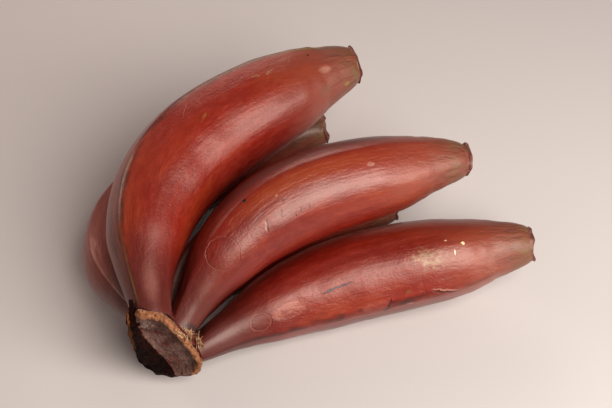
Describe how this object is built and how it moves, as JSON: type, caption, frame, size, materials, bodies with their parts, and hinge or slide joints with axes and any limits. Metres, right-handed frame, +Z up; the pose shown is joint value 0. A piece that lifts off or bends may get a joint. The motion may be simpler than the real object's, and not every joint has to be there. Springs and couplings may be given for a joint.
{
  "type": "red banana hand",
  "caption": "Small hand of plump red bananas, joined at one cut crown and lying on its side, with the fingers fanning out.",
  "frame": {"origin": "under the centre of the hand's bounding box, on the surface it lies on", "axes": "+Z up; +X along the hand's greatest length, from the crown side towards the tip of the front finger; -Y towards the cut face of the crown"},
  "size_m": [0.1954, 0.1382, 0.0785],
  "materials": {
    "peel": "satin waxy peel, brick red with rust and mauve zones",
    "crown": "matt, dried and charred cut stalk tissue with a tan rim"
  },
  "bodies": {
    "root": {"crown": "crown", "finger_top": "peel", "finger_middle": "peel", "finger_front": "peel", "finger_back": "peel", "finger_under": "peel"}
  },
  "joints": []
}
